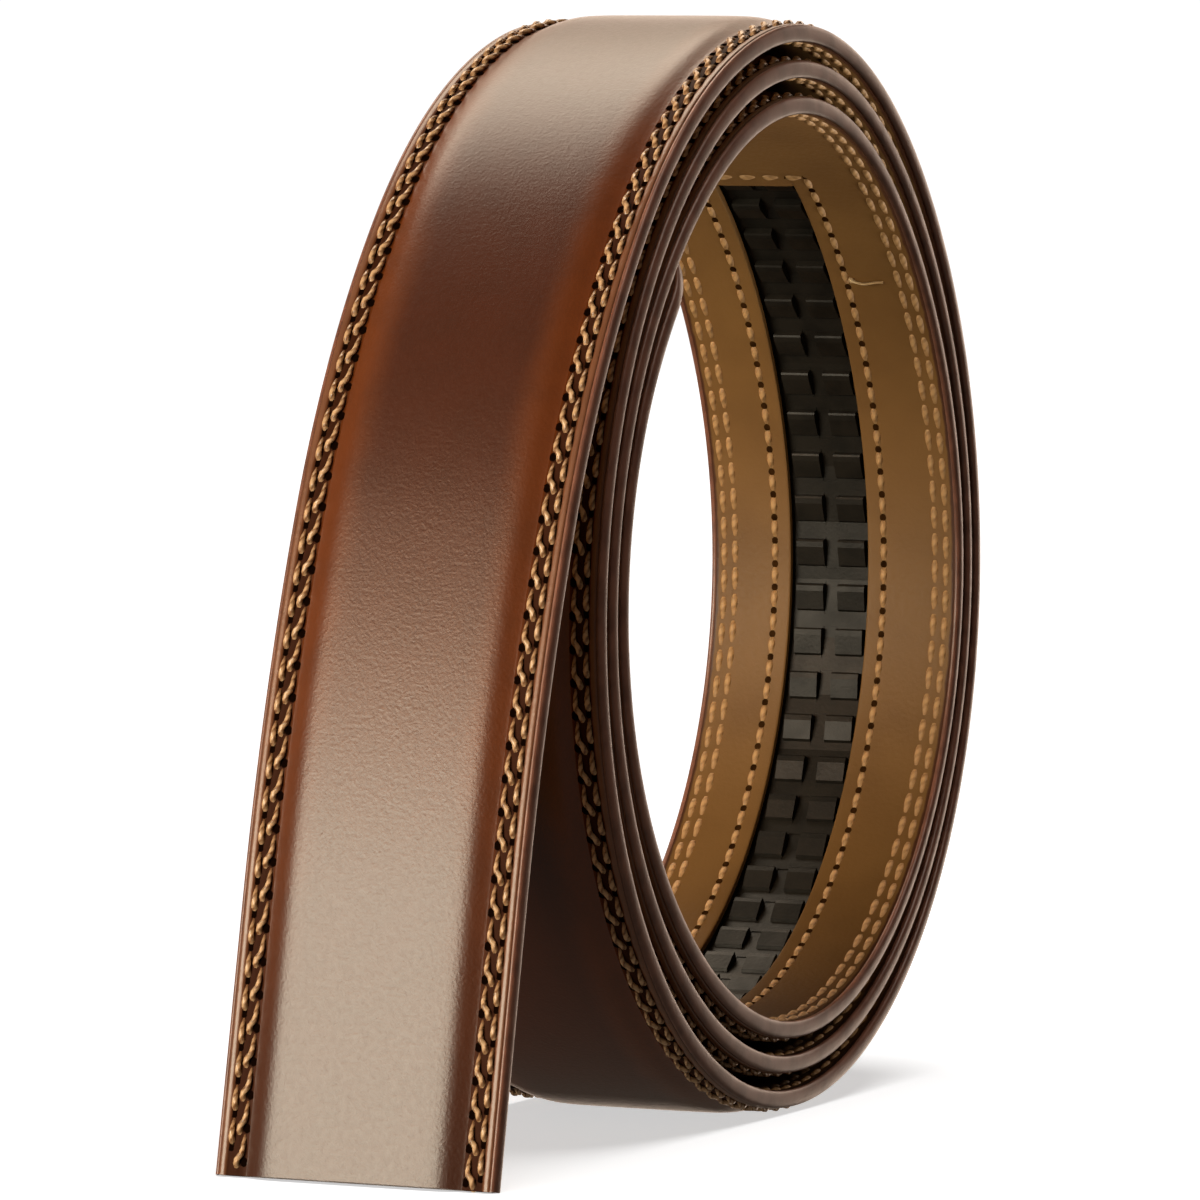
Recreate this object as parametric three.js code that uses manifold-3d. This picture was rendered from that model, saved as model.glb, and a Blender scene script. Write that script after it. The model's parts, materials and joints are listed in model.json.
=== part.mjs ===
import * as THREE from 'three';
import { mergeVertices } from 'three/addons/utils/BufferGeometryUtils.js';
import Module from 'manifold-3d';

// Strap of a ratchet belt, wound into an upright coil. Its square cut end hangs from the top of the coil
// down to the surface, and its rounded tip is the inner end. Millimetres, +Z up. X and Z lie in the plane
// of the coil, and Y runs across the strap. Along the strap, distances are measured from the cut end.
// Through the strap, heights are measured outwards from the joint between outer leather and lining.

// Section of the strap
const STRAP_WIDTH = 35;
const BORDER_THICKNESS = 1.3;
const PAD_RISE = 0.9;
const BORDER_WIDTH = 3.9;
const SHOULDER_WIDTH = 3.1;
const LINING_THICKNESS = 0.8;
const JOINT_CLEARANCE = 0.15;
const OUTER_EDGE_ROUND = 0.7;
const LINING_EDGE_ROUND = 0.45;

// Length of the strap and the plan of its tip
const STRAP_LENGTH = 1298;
const TIP_LENGTH = 16;

// Track of teeth let into the inner face, seen through a window in the lining
const TOOTH_COUNT = 36;
const TOOTH_PITCH = 5.87;
const TOOTH_WIDTH = 9.5;
const TOOTH_HEIGHT = 1.0;
const TOOTH_SETBACK = 0.5;
const NOTCH_WIDTH = 2.0;
const TRACK_BASE_THICKNESS = 0.5;
const TRACK_UNDERLAP = 3;
const TRACK_RAIL_WIDTH = 1.2;
const TRACK_CLEARANCE = 0.15;
const WINDOW_SIDE_GAP = 0.7;
const WINDOW_END_GAP = 0.3;
const WINDOW_OFFSET = 0.75;
const WINDOW_TO_TIP = 83;
const FIRST_TOOTH_HIDDEN = 0.2;

// Coil, with the loose room between its layers and the flat that its weight presses where it rests
const COIL_RADIUS = 67.1;
const LAYER_CLEARANCE = 0.25;
const LAYER_SLACK = 1.1;
const REST_FLATTENING = 0.25;
const TAIL_LEAVES_AT = -15;
const BEARING_STEP = 7.5;
const STATION_SPACING = 9;
const CUT_OVERRUN = 2;

// Bearings are degrees from the top of the coil towards +X. Radius is a share of COIL_RADIUS, taken before
// the turns are wound inwards, and slack is a share of LAYER_SLACK.
const COIL_ROWS = [
  { bearing: 0, radius: 0.985, slack: 0.93 },
  { bearing: 45, radius: 0.943, slack: 0.47 },
  { bearing: 90, radius: 0.971, slack: 0.00 },
  { bearing: 135, radius: 1.001, slack: 0.32 },
  { bearing: 180, radius: 1.013, slack: 0.77 },
  { bearing: 225, radius: 1.041, slack: 0.97 },
  { bearing: 270, radius: 1.042, slack: 0.02 },
  { bearing: 315, radius: 1.003, slack: 0.77 },
];

// Arcs of the hanging tail, from the coil outwards. Sweeps are degrees and radii are shares of COIL_RADIUS.
const TAIL_ARCS = [
  { sweep: 34.7, radius: 1.12 },
  { sweep: 20.5, radius: 1.71 },
  { sweep: 10.2, radius: 3.80 },
];

// One tooth of the track, from its steep wall towards the tip. Along is a share of TOOTH_PITCH and height
// is a share of TOOTH_HEIGHT. Below zero a tooth is rooted in the base. The notch runs from a little before
// the wall to a little past the slope.
const TOOTH_ROWS = [
  { along: 0.00, height: -0.15 },
  { along: 0.01, height: 0.86 },
  { along: 0.05, height: 1.00 },
  { along: 0.17, height: 1.00 },
  { along: 0.58, height: 0.42 },
  { along: 0.63, height: -0.15 },
];
const NOTCH_LEAD = 0.05;
const NOTCH_SHARE = 0.68;
const NOTCH_DEPTH = 1.1;

const STRAP_THICKNESS = LINING_THICKNESS + JOINT_CLEARANCE + BORDER_THICKNESS + PAD_RISE;
const PAD_HEIGHT = BORDER_THICKNESS + PAD_RISE;
const LINING_OUTER = -JOINT_CLEARANCE;
const LINING_INNER = LINING_OUTER - LINING_THICKNESS;
const CREST_HEIGHT = LINING_INNER + TOOTH_SETBACK;
const TRACK_FLOOR = CREST_HEIGHT + TOOTH_HEIGHT;
const TRACK_BACK = TRACK_FLOOR + TRACK_BASE_THICKNESS;
const GROOVE_FLOOR = TRACK_BACK + TRACK_CLEARANCE;
const WINDOW_WIDTH = TOOTH_WIDTH + 2 * WINDOW_SIDE_GAP;
const TRACK_WIDTH = WINDOW_WIDTH + 2 * TRACK_RAIL_WIDTH;
const WINDOW_END = STRAP_LENGTH - WINDOW_TO_TIP;
const WINDOW_START = WINDOW_END - TOOTH_COUNT * TOOTH_PITCH - 2 * WINDOW_END_GAP;
const TRACK_START = WINDOW_START - TRACK_UNDERLAP;
const TRACK_END = WINDOW_END + TRACK_UNDERLAP;
const TEETH_START = WINDOW_START + WINDOW_END_GAP - FIRST_TOOTH_HIDDEN * TOOTH_PITCH;
const TEETH_END = TEETH_START + (TOOTH_COUNT + 1) * TOOTH_PITCH;
const TIP_ALLOWANCE = STATION_SPACING + CUT_OVERRUN;

const radians = THREE.MathUtils.degToRad;
const wasm = await Module();
wasm.setup();

// Smooth periodic reading of one column of the coil's table, exact at its rows
function readRows(column, bearing) {
  let sum = 0;
  for (const row of COIL_ROWS) {
    const turn = radians(bearing - row.bearing);
    const close = Math.abs(Math.sin(turn / 2)) < 1e-9;
    const share = close ? 1 : Math.sin(COIL_ROWS.length * turn / 2) / (COIL_ROWS.length * Math.tan(turn / 2));
    sum += row[column] * share;
  }
  return sum;
}

// Point of the strap's joint line at a bearing that keeps counting up over the turns
function coilPoint(bearing) {
  const pitch = STRAP_THICKNESS + LAYER_CLEARANCE + LAYER_SLACK * readRows('slack', bearing);
  const radius = COIL_RADIUS * readRows('radius', bearing) - pitch * bearing / 360;
  return new THREE.Vector2(radius * Math.sin(radians(bearing)), radius * Math.cos(radians(bearing)));
}

// Lowest height that the outer face reaches under the coil
function coilFloor() {
  let lowest = Infinity;
  for (let bearing = 120; bearing <= 240; bearing += 1) {
    const point = coilPoint(bearing);
    lowest = Math.min(lowest, point.y * (1 + PAD_HEIGHT / point.length()));
  }
  return lowest + REST_FLATTENING;
}

// Points of the tail from the coil to just past the floor, outwards along its arcs and its straight end
function tailPoints(floor) {
  const start = coilPoint(TAIL_LEAVES_AT);
  const ahead = coilPoint(TAIL_LEAVES_AT + 0.01);
  let heading = Math.atan2(start.y - ahead.y, start.x - ahead.x);
  let point = start;
  const points = [start];
  for (const arc of TAIL_ARCS) {
    const radius = arc.radius * COIL_RADIUS;
    const steps = Math.ceil(radians(arc.sweep) * radius / STATION_SPACING);
    const turn = radians(arc.sweep) / steps;
    const chord = 2 * radius * Math.sin(turn / 2);
    for (let step = 0; step < steps; step += 1) {
      const middle = heading + turn / 2;
      point = new THREE.Vector2(point.x + chord * Math.cos(middle), point.y + chord * Math.sin(middle));
      points.push(point);
      heading += turn;
    }
  }
  const straight = (point.y - floor + CUT_OVERRUN) / -Math.sin(heading);
  points.push(new THREE.Vector2(
    point.x + straight * Math.cos(heading),
    point.y + straight * Math.sin(heading),
  ));
  return points;
}

// Stations of the joint line from past the cut end to past the tip. Each holds its distance along the strap,
// its point and its outward normal in the plane of the coil.
function buildStations() {
  const floor = coilFloor();
  const points = tailPoints(floor).reverse();
  const lift = new THREE.Vector2(0, -floor);
  const cutRow = (points[0].y - floor) / (points[0].y - points[1].y);
  let along = -cutRow * points[0].distanceTo(points[1]);
  let previous = points[0];
  const stations = [{ along, point: previous.clone().add(lift) }];
  const add = (point) => {
    along += point.distanceTo(previous);
    stations.push({ along, point: point.clone().add(lift) });
    previous = point;
  };
  points.slice(1).forEach(add);
  let bearing = (Math.floor(TAIL_LEAVES_AT / BEARING_STEP) + 1.5) * BEARING_STEP;
  while (along < STRAP_LENGTH + CUT_OVERRUN) {
    add(coilPoint(bearing));
    bearing += BEARING_STEP;
  }
  stations.forEach((station, index) => {
    const before = stations[Math.max(index - 1, 0)].point;
    const after = stations[Math.min(index + 1, stations.length - 1)].point;
    station.tangent = after.clone().sub(before).normalize();
    station.normal = new THREE.Vector2(-station.tangent.y, station.tangent.x);
  });
  return stations;
}

const stations = buildStations();

// The joint line as a curve that passes through every station
class JointLine extends THREE.Curve {
  getPoint(t, target = new THREE.Vector3()) {
    const place = t * (stations.length - 1);
    const index = Math.min(Math.floor(place), stations.length - 2);
    const point = stations[index].point.clone().lerp(stations[index + 1].point, place - index);
    return target.set(point.x, 0, point.y);
  }

  getSpacedPoints() {
    return stations.map(({ point }) => new THREE.Vector3(point.x, 0, point.y));
  }

  getTangentAt(u, target = new THREE.Vector3()) {
    const { tangent } = stations[Math.round(u * (stations.length - 1))];
    return target.set(tangent.x, 0, tangent.y);
  }
}

// Point in the coil's plane at a distance along the strap and a height through it
function placeAt(along, height) {
  let index = stations.findLastIndex((station) => station.along <= along);
  index = Math.min(Math.max(index, 0), stations.length - 2);
  const [from, to] = [stations[index], stations[index + 1]];
  const share = (along - from.along) / (to.along - from.along);
  const point = from.point.clone().lerp(to.point, share);
  const normal = from.normal.clone().lerp(to.normal, share);
  return point.addScaledVector(normal, height);
}

// Distances of both ends of a stretch and of each station between them
function stretch(start, end) {
  const inside = stations.map(({ along }) => along).filter((along) => along > start && along < end);
  return [start, ...inside, end];
}

// Closed solid of a mesh geometry, and the geometry of a closed solid
function toSolid(geometry) {
  const bare = geometry.clone();
  bare.deleteAttribute('normal');
  bare.deleteAttribute('uv');
  const merged = mergeVertices(bare, 1e-5);
  return new wasm.Manifold(new wasm.Mesh({
    numProp: 3,
    vertProperties: new Float32Array(merged.attributes.position.array),
    triVerts: new Uint32Array(merged.index.array),
  }));
}

function toGeometry(solid) {
  const mesh = solid.getMesh();
  const geometry = new THREE.BufferGeometry();
  geometry.setAttribute('position', new THREE.BufferAttribute(mesh.vertProperties, mesh.numProp));
  geometry.setIndex(new THREE.BufferAttribute(mesh.triVerts, 1));
  geometry.computeVertexNormals();
  return geometry;
}

// Section drawn across the strap and swept along the whole joint line
function sweep(section) {
  return toSolid(new THREE.ExtrudeGeometry(section, {
    steps: stations.length - 1,
    curveSegments: 2,
    bevelEnabled: false,
    extrudePath: new JointLine(),
  }));
}

// Outline in the coil's plane, given by its outer line and its inner line, extruded across the strap
function slab(outer, inner, middle, width) {
  const outline = new THREE.Shape([...outer, ...inner.reverse()]);
  const geometry = new THREE.ExtrudeGeometry(outline, { depth: width, bevelEnabled: false });
  geometry.rotateX(Math.PI / 2);
  geometry.translate(0, middle + width / 2, 0);
  return toSolid(geometry);
}

// Band of even thickness that follows the strap between two distances and two heights
function band(start, end, low, high, middle, width) {
  const places = stretch(start, end);
  const outer = places.map((along) => placeAt(along, high));
  const inner = places.map((along) => placeAt(along, low));
  return slab(outer, inner, middle, width);
}

// Outer leather with thin borders, rounded edges and a raised middle
function outerSection() {
  const half = STRAP_WIDTH / 2;
  const foot = half - BORDER_WIDTH;
  const top = foot - SHOULDER_WIDTH;
  const bend = SHOULDER_WIDTH / 2;
  const section = new THREE.Shape();
  section.moveTo(-half, 0);
  section.lineTo(half, 0);
  section.lineTo(half, -BORDER_THICKNESS + OUTER_EDGE_ROUND);
  section.quadraticCurveTo(half, -BORDER_THICKNESS, half - OUTER_EDGE_ROUND, -BORDER_THICKNESS);
  section.lineTo(foot, -BORDER_THICKNESS);
  section.bezierCurveTo(foot - bend, -BORDER_THICKNESS, top + bend, -PAD_HEIGHT, top, -PAD_HEIGHT);
  section.lineTo(-top, -PAD_HEIGHT);
  section.bezierCurveTo(-top - bend, -PAD_HEIGHT, bend - foot, -BORDER_THICKNESS, -foot, -BORDER_THICKNESS);
  section.lineTo(OUTER_EDGE_ROUND - half, -BORDER_THICKNESS);
  section.quadraticCurveTo(-half, -BORDER_THICKNESS, -half, -BORDER_THICKNESS + OUTER_EDGE_ROUND);
  return section;
}

// Lining with its inner corners rounded
function liningSection() {
  const half = STRAP_WIDTH / 2;
  const section = new THREE.Shape();
  section.moveTo(-half, -LINING_OUTER);
  section.lineTo(half, -LINING_OUTER);
  section.lineTo(half, -LINING_INNER - LINING_EDGE_ROUND);
  section.quadraticCurveTo(half, -LINING_INNER, half - LINING_EDGE_ROUND, -LINING_INNER);
  section.lineTo(LINING_EDGE_ROUND - half, -LINING_INNER);
  section.quadraticCurveTo(-half, -LINING_INNER, -half, -LINING_INNER - LINING_EDGE_ROUND);
  return section;
}

// What is cut away beyond the rounded tip, held to the innermost layer of the coil
function tipCutter() {
  const reach = STRAP_WIDTH / 2;
  const plan = new THREE.Shape();
  plan.moveTo(-TIP_LENGTH, reach + CUT_OVERRUN);
  plan.lineTo(-TIP_LENGTH, reach);
  plan.absellipse(-TIP_LENGTH, 0, TIP_LENGTH, reach, Math.PI / 2, -Math.PI / 2, true);
  plan.lineTo(-TIP_LENGTH, -reach - CUT_OVERRUN);
  plan.lineTo(TIP_ALLOWANCE, -reach - CUT_OVERRUN);
  plan.lineTo(TIP_ALLOWANCE, reach + CUT_OVERRUN);
  const depth = STRAP_WIDTH;
  const geometry = new THREE.ExtrudeGeometry(plan, { depth, curveSegments: 12, bevelEnabled: false });
  geometry.translate(0, 0, -depth / 2);
  const place = placeAt(STRAP_LENGTH, 0);
  const back = placeAt(STRAP_LENGTH - TIP_LENGTH, 0);
  const forward = new THREE.Vector3(place.x - back.x, 0, place.y - back.y).normalize();
  const across = new THREE.Vector3(0, 1, 0);
  const up = new THREE.Vector3().crossVectors(forward, across);
  geometry.applyMatrix4(new THREE.Matrix4().makeBasis(forward, across, up).setPosition(place.x, 0, place.y));
  const layer = band(
    STRAP_LENGTH - TIP_LENGTH - CUT_OVERRUN,
    STRAP_LENGTH + TIP_ALLOWANCE,
    LINING_INNER - LAYER_CLEARANCE,
    PAD_HEIGHT + LAYER_CLEARANCE / 2,
    0,
    STRAP_WIDTH + CUT_OVERRUN,
  );
  return toSolid(geometry).intersect(layer);
}

// What lies below the surface that the coil and the cut end stand on
function floorCutter() {
  const size = 4 * COIL_RADIUS;
  const geometry = new THREE.BoxGeometry(size, 2 * STRAP_WIDTH, size);
  geometry.translate(0, 0, -size / 2);
  return toSolid(geometry);
}

// Lengthwise outline of the teeth, from the first one, partly hidden, to the end of the last
function toothLine() {
  const line = [];
  for (let tooth = 0; tooth <= TOOTH_COUNT; tooth += 1) {
    for (const row of TOOTH_ROWS) {
      const along = TEETH_START + (tooth + row.along) * TOOTH_PITCH;
      line.push(placeAt(along, TRACK_FLOOR - row.height * TOOTH_HEIGHT));
    }
  }
  return line;
}

// Track: a base whose sides rise under the lining, and a row of saw teeth that are notched in the middle
function buildTrack() {
  const [middle, sunk] = [WINDOW_OFFSET, LINING_INNER - TOOTH_HEIGHT];
  const base = band(TRACK_START, TRACK_END, TRACK_CLEARANCE, TRACK_BACK, middle, TRACK_WIDTH);
  const channel = band(
    TRACK_START - CUT_OVERRUN, TRACK_END + CUT_OVERRUN, sunk, TRACK_FLOOR, middle, WINDOW_WIDTH,
  );
  const root = TRACK_FLOOR + TRACK_BASE_THICKNESS / 2;
  const back = stretch(TEETH_START, TEETH_END).map((along) => placeAt(along, root));
  const teeth = slab(back, [...toothLine(), placeAt(TEETH_END, TRACK_FLOOR)], middle, TOOTH_WIDTH);
  const shown = band(
    WINDOW_START + WINDOW_END_GAP, WINDOW_END - WINDOW_END_GAP, sunk, GROOVE_FLOOR, middle, WINDOW_WIDTH,
  );
  let track = base.subtract(channel).add(teeth.intersect(shown));
  for (let tooth = 0; tooth <= TOOTH_COUNT; tooth += 1) {
    const start = TEETH_START + (tooth - NOTCH_LEAD) * TOOTH_PITCH;
    const end = TEETH_START + (tooth + NOTCH_SHARE) * TOOTH_PITCH;
    const floor = TRACK_FLOOR - TOOTH_HEIGHT + NOTCH_DEPTH;
    track = track.subtract(band(start, end, sunk, floor, middle, NOTCH_WIDTH));
  }
  return track;
}

const tip = tipCutter();
const belowFloor = floorCutter();
const window = band(
  WINDOW_START, WINDOW_END, LINING_INNER - JOINT_CLEARANCE, LINING_OUTER + JOINT_CLEARANCE,
  WINDOW_OFFSET, WINDOW_WIDTH,
);
const groove = band(
  TRACK_START - TRACK_CLEARANCE, TRACK_END + TRACK_CLEARANCE, -JOINT_CLEARANCE / 2, GROOVE_FLOOR,
  WINDOW_OFFSET, TRACK_WIDTH + 2 * TRACK_CLEARANCE,
);

const pieces = [
  {
    name: 'outer_strap',
    solid: sweep(outerSection()).subtract(tip).subtract(belowFloor).subtract(groove),
    material: new THREE.MeshStandardMaterial({ color: 0x5a2f1c, roughness: 0.38, metalness: 0 }),
  },
  {
    name: 'lining',
    solid: sweep(liningSection()).subtract(tip).subtract(belowFloor).subtract(window),
    material: new THREE.MeshStandardMaterial({ color: 0x9a7242, roughness: 0.6, metalness: 0 }),
  },
  {
    name: 'ratchet_track',
    solid: buildTrack(),
    material: new THREE.MeshStandardMaterial({ color: 0x23201d, roughness: 0.45, metalness: 0 }),
  },
];

const belt = new THREE.Group();
for (const { name, solid, material } of pieces) {
  const mesh = new THREE.Mesh(toGeometry(solid), material);
  mesh.name = name;
  belt.add(mesh);
}
const bounds = new THREE.Box3().setFromObject(belt);
belt.position.x = -(bounds.min.x + bounds.max.x) / 2;

const coiledBelt = new THREE.Group();
coiledBelt.add(belt);

export default coiledBelt;
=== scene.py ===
"""Coiled strap of a ratchet belt: padded leather, lining, toothed track, stitching and painted edges."""

import json
import logging
import math
from dataclasses import dataclass, field
from enum import Enum
from typing import Any, Callable, Sequence

import bpy
import numpy as np
from mathutils import Matrix, Vector

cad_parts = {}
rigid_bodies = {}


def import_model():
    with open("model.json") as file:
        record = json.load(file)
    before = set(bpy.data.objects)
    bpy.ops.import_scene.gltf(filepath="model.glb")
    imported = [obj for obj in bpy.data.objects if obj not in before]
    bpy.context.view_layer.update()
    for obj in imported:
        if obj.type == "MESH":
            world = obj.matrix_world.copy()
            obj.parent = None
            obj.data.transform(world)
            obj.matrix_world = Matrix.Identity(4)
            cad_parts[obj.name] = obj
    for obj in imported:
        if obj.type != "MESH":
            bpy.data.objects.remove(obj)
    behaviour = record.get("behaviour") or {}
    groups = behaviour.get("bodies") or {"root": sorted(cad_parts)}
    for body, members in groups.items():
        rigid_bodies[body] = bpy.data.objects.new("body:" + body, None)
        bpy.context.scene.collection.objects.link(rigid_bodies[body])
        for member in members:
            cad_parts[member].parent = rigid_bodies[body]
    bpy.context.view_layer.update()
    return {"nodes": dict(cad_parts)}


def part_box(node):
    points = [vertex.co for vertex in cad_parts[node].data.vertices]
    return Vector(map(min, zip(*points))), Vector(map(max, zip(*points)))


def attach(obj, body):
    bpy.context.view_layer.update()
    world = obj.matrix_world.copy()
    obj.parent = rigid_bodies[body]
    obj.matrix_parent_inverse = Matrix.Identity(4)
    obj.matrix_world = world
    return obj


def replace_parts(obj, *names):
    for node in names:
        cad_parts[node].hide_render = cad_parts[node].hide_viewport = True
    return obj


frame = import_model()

LOG = logging.getLogger("strap")
MM = 0.001
BLEND_INPUTS = (0, 6, 7)
BLEND_OUTPUT = 2
GRAIN_DETAIL = 3.0
SMOOTH_RISE = {"interpolation_type": "SMOOTHSTEP"}
SLIVER = 0.01
TINY = 1e-9
Array = np.ndarray
Colour = tuple[float, float, float, float]
Faces = list[tuple[int, ...]]
Span = tuple[float, float]
Profile = tuple[Span, ...]
Triple = tuple[float, float, float]


def srgb(red: int, green: int, blue: int) -> Colour:
    """Turns an eight-bit display colour into the linear colour that a shader takes.

    Args:
        red: Red from 0 to 255.
        green: Green from 0 to 255.
        blue: Blue from 0 to 255.

    Returns:
        Linear red, green and blue with full alpha.
    """
    knee, slope, lift, power = 0.04045, 12.92, 0.055, 2.4
    linear = []
    for value in (red, green, blue):
        share = value / 255
        linear.append(share / slope if share <= knee else ((share + lift) / (1 + lift)) ** power)
    return (*linear, 1.0)


class Layer(Enum):
    """Face of the strap that stitching lies on, by the sign of its outward height."""

    OUTER = 1.0
    LINING = -1.0


@dataclass
class StrapPath:
    """The strap's joint line, wound as it is in the solids. Lengths are millimetres.

    Along is the distance from the cut end, across runs away from the camera, and height is outward from
    the joint between outer leather and lining.
    """

    length: float = 1298.0
    width: float = 35.0
    tip_length: float = 16.0
    coil_radius: float = 67.1
    layer_thickness: float = 3.15
    layer_clearance: float = 0.25
    layer_slack: float = 1.1
    pad_height: float = 2.2
    rest_flattening: float = 0.25
    tail_leaves_at: float = -15.0
    bearing_step: float = 7.5
    cut_overrun: float = 2.0
    fine_steps: int = 12
    radius_shares: tuple[float, ...] = (0.985, 0.943, 0.971, 1.001, 1.013, 1.041, 1.042, 1.003)
    slack_shares: tuple[float, ...] = (0.93, 0.47, 0.00, 0.32, 0.77, 0.97, 0.02, 0.77)
    tail_arcs: tuple[Span, ...] = ((34.7, 1.12), (20.5, 1.71), (10.2, 3.80))
    station_spacing: float = 9.0
    heading_step: float = 0.01
    bottom_bearings: tuple[int, int] = (120, 240)
    centre: Array = field(init=False)
    table: Array = field(init=False)

    def __post_init__(self) -> None:
        """Winds the path once and keeps it as a table of along, x, z and turning angle."""
        floor = self._floor()
        rows = self._tail(floor)
        along = rows[-1][0]
        bearing = self.tail_leaves_at
        while along < self.length + 2 * self.station_spacing:
            ends = [self._coil_point(bearing), self._coil_point(bearing + self.bearing_step)]
            step = float(np.linalg.norm(ends[1] - ends[0]))
            for part in range(1, self.fine_steps + 1):
                share = part / self.fine_steps
                rows.append((along + share * step, self._coil_point(bearing + share * self.bearing_step)))
            along += step
            bearing += self.bearing_step
        points = np.array([point for _, point in rows])
        points[:, 1] -= floor
        slopes = np.gradient(points, axis=0)
        angles = np.unwrap(np.arctan2(slopes[:, 1], slopes[:, 0]))
        self.table = np.column_stack([[along for along, _ in rows], points, angles])
        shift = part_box("outer_strap")[0].x / MM - self._lowest_x()
        self.table[:, 1] += shift
        self.centre = np.array([shift, -floor])

    def _read(self, column: Sequence[float], bearing: float) -> float:
        """Reads a ring of coil shares, smoothly and exactly at its entries.

        Args:
            column: Shares at even bearings, from the top.
            bearing: Bearing in degrees.

        Returns:
            The share there.
        """
        count = len(column)
        total = 0.0
        for index, value in enumerate(column):
            turn = math.radians(bearing - index * 360 / count)
            near = abs(math.sin(turn / 2)) < TINY
            total += value * (1.0 if near else math.sin(count * turn / 2) / (count * math.tan(turn / 2)))
        return total

    def _coil_point(self, bearing: float) -> Array:
        """Finds a point of the coil.

        Args:
            bearing: Degrees from the top, counted up over the turns.

        Returns:
            Its x and z from the middle of the coil.
        """
        slack = self.layer_slack * self._read(self.slack_shares, bearing)
        pitch = self.layer_thickness + self.layer_clearance + slack
        radius = self.coil_radius * self._read(self.radius_shares, bearing) - pitch * bearing / 360
        angle = math.radians(bearing)
        return np.array([radius * math.sin(angle), radius * math.cos(angle)])

    def _floor(self) -> float:
        """Finds the surface that the coil stands on.

        Returns:
            Its height, counted from the middle of the coil.
        """
        lowest = math.inf
        for bearing in range(self.bottom_bearings[0], self.bottom_bearings[1] + 1):
            point = self._coil_point(bearing)
            lowest = min(lowest, point[1] * (1 + self.pad_height / float(np.linalg.norm(point))))
        return lowest + self.rest_flattening

    def _tail(self, floor: float) -> list[tuple[float, Array]]:
        """Follows the tail from the coil to the surface.

        Args:
            floor: Height of the surface.

        Returns:
            Distance along the strap and point, from past the cut end up to the coil.
        """
        start = self._coil_point(self.tail_leaves_at)
        back = start - self._coil_point(self.tail_leaves_at + self.heading_step)
        heading = math.atan2(back[1], back[0])
        coarse = 0.0
        point = start
        rows = [(0.0, start)]
        for sweep, share in self.tail_arcs:
            radius = share * self.coil_radius
            steps = math.ceil(math.radians(sweep) * radius / self.station_spacing)
            turn = math.radians(sweep) / steps
            chord = 2 * radius * math.sin(turn / 2)
            pivot = point + radius * np.array([-math.sin(heading), math.cos(heading)])
            for part in range(1, steps * self.fine_steps + 1):
                ahead = heading + turn * part / self.fine_steps
                spot = pivot + radius * np.array([math.sin(ahead), -math.cos(ahead)])
                rows.append((coarse + chord * part / self.fine_steps, spot))
            coarse += chord * steps
            heading += turn * steps
            point = rows[-1][1]
        ahead = np.array([math.cos(heading), math.sin(heading)])
        straight = (point[1] - floor) / -ahead[1]
        total = coarse + straight
        for part in range(1, self.fine_steps + 1):
            reach = (straight + self.cut_overrun) * part / self.fine_steps
            rows.append((coarse + reach, point + reach * ahead))
        return [(total - distance, spot) for distance, spot in reversed(rows)]

    def _lowest_x(self) -> float:
        """Finds how far the raised middle reaches where it meets the surface.

        Returns:
            Its smallest x.
        """
        row = self.table[0]
        angle = row[3]
        high = row[1:3] + self.pad_height * np.array([-math.sin(angle), math.cos(angle)])
        return float(high[0] + high[1] * -math.cos(angle) / math.sin(angle))

    def normal(self, along: Array) -> Array:
        """Outward unit normals at distances along the strap.

        Args:
            along: Distances from the cut end.

        Returns:
            One x, y, z row for each distance.
        """
        angle = np.interp(along, self.table[:, 0], self.table[:, 3])
        return np.stack([-np.sin(angle), np.zeros_like(angle), np.cos(angle)], axis=-1)

    def place(self, along: Array, across: Array, height: Array) -> Array:
        """Places strap coordinates in the row frame.

        Args:
            along: Distances from the cut end.
            across: Distances from the middle line.
            height: Heights from the joint line, outward.

        Returns:
            One x, y, z row in metres for each point, never below the surface.
        """
        x, z = (np.interp(along, self.table[:, 0], self.table[:, column]) for column in (1, 2))
        spot = np.stack([x, across, z], axis=-1)
        points = (spot + self.normal(along) * np.asarray(height)[..., None]) * MM
        points[..., 2] = np.maximum(points[..., 2], 0.0)
        return points


class Value:
    """A number socket whose arithmetic adds Math nodes to its tree."""

    def __init__(self, nodes: "Nodes", socket: Any) -> None:
        """Keeps the tree and the socket."""
        self.nodes = nodes
        self.socket = socket

    def __add__(self, other: "Value | float") -> "Value":
        """Adds."""
        return self.nodes.math("ADD", self, other)

    def __sub__(self, other: "Value | float") -> "Value":
        """Subtracts."""
        return self.nodes.math("SUBTRACT", self, other)

    def __rsub__(self, other: float) -> "Value":
        """Subtracts from a number."""
        return self.nodes.math("SUBTRACT", other, self)

    def __mul__(self, other: "Value | float") -> "Value":
        """Multiplies."""
        return self.nodes.math("MULTIPLY", self, other)

    __radd__ = __add__
    __rmul__ = __mul__

    def swing(self, width: float) -> "Value":
        """Moves evenly about 0 with a pattern whose middle is 0.5."""
        return (self - 0.5) * width


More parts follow.
